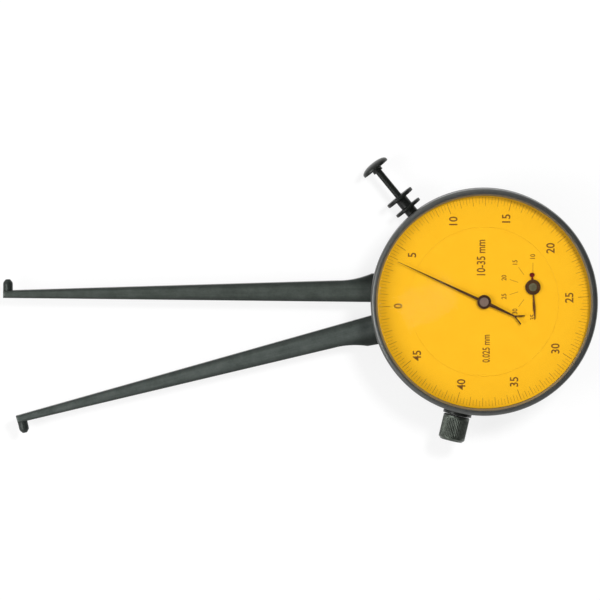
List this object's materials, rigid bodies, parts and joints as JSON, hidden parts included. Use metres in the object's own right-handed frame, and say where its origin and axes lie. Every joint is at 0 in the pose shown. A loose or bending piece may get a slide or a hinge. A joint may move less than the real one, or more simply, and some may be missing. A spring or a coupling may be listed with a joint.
{
  "type": "inside dial caliper",
  "caption": "Inside dial caliper with a fixed leg, a turning leg, push button, zero-setting knob, turn counter and a yellow dial.",
  "frame": {"origin": "on the dial axis, at the flat back face of the case", "axes": "+Z out of the dial towards the reader, -X along the fixed leg, +Y from the turning leg towards the fixed leg"},
  "size_m": [0.1362, 0.0651, 0.0173],
  "materials": {
    "blackened_steel": "blackened, fine satin",
    "black_paint": "semi-gloss black",
    "crystal": "clear, polished",
    "gasket": "matte cream nylon",
    "yellow_dial": "satin yellow print ground",
    "hands": "dark blued",
    "brass": "fine brushed",
    "bright_steel": "turned"
  },
  "bodies": {
    "root": {"case_body": "blackened_steel", "back_cover": "blackened_steel", "cover_screw_1": "bright_steel", "cover_screw_2": "bright_steel", "cover_screw_3": "bright_steel", "bezel": "black_paint", "crystal": "crystal", "crystal_gasket": "gasket", "base_plate": "brass", "plate_screw_1": "bright_steel", "plate_screw_2": "bright_steel", "plate_screw_3": "bright_steel", "dial_post_1": "brass", "dial_post_2": "brass", "dial_post_3": "brass", "rear_bridge": "brass", "bridge_pillar_1": "bright_steel", "bridge_pillar_2": "bright_steel", "hairspring_stud": "bright_steel", "hairspring": "bright_steel", "inner_dial": "yellow_dial", "fixed_leg": "blackened_steel", "fixed_leg_spacer": "brass", "fixed_leg_screw_1": "bright_steel", "fixed_leg_screw_2": "bright_steel", "fixed_contact": "blackened_steel", "leg_pivot_pin": "bright_steel", "stop_pin": "bright_steel", "spring_post": "bright_steel", "leg_spring": "bright_steel", "button_guide": "blackened_steel", "knob_bush": "blackened_steel"},
    "turning_leg": {"moving_leg": "blackened_steel", "moving_contact": "blackened_steel", "sector_gear": "brass", "sector_screw": "bright_steel", "sector_dowel": "bright_steel", "spring_peg": "bright_steel"},
    "push_button": {"button_cap": "blackened_steel", "push_rod": "blackened_steel", "rod_clip": "bright_steel"},
    "idler": {"idler_arbor": "bright_steel", "sector_pinion": "bright_steel", "intermediate_wheel": "brass"},
    "main_hand": {"center_arbor": "bright_steel", "center_pinion": "bright_steel", "counter_pinion": "bright_steel", "main_hub": "bright_steel", "main_pointer": "hands"},
    "counter_hand": {"counter_arbor": "bright_steel", "counter_wheel": "brass", "counter_hub": "hands", "counter_pointer": "hands"},
    "scale": {"scale_ring": "yellow_dial", "crown_gear": "brass"},
    "knob": {"zero_knob": "blackened_steel", "knob_shaft": "bright_steel", "knob_pinion": "bright_steel"}
  },
  "joints": [
    {"name": "leg_close", "type": "hinge", "parent": "root", "child": "turning_leg", "pos_m": [-0.0188, -0.0063, 0.0053], "axis": [0, 0, -1], "range_deg": [0, 16.2], "stiffness_Nm_per_rad": 0.14, "springref_deg": -24.64, "deforming": ["leg_spring"]},
    {"name": "button_press", "type": "slide", "parent": "root", "child": "push_button", "axis": [0.6334, -0.7738, 0], "range_m": [0, 0.00526]},
    {"name": "idler_turn", "type": "hinge", "parent": "root", "child": "idler", "pos_m": [-0.00132, -0.01032, 0.0053], "axis": [0, 0, -1], "range_deg": [-0.5, 203], "deforming": ["hairspring"]},
    {"name": "main_hand_turn", "type": "hinge", "parent": "root", "child": "main_hand", "pos_m": [0, 0, 0.0142], "axis": [0, 0, 1], "range_deg": [-5, 1827.5]},
    {"name": "counter_hand_turn", "type": "hinge", "parent": "root", "child": "counter_hand", "pos_m": [0.01116, 0.00338, 0.0142], "axis": [0, 0, -1], "range_deg": [-1, 183.25]},
    {"name": "scale_turn", "type": "hinge", "parent": "root", "child": "scale", "pos_m": [0, 0, 0.0134], "axis": [0, 0, 1], "continuous": true},
    {"name": "knob_turn", "type": "hinge", "parent": "root", "child": "knob", "pos_m": [-0.0069, -0.0292, 0.00958], "axis": [-0.23, -0.9732, 0], "continuous": true}
  ],
  "couplings": [
    {"joint": "button_press", "follows": "leg_close", "m_per_rad": 0.018538},
    {"joint": "idler_turn", "follows": "leg_close", "ratio": 12.5},
    {"joint": "main_hand_turn", "follows": "leg_close", "ratio": 112.5},
    {"joint": "counter_hand_turn", "follows": "leg_close", "ratio": 11.25},
    {"joint": "knob_turn", "follows": "scale_turn", "ratio": -10}
  ]
}
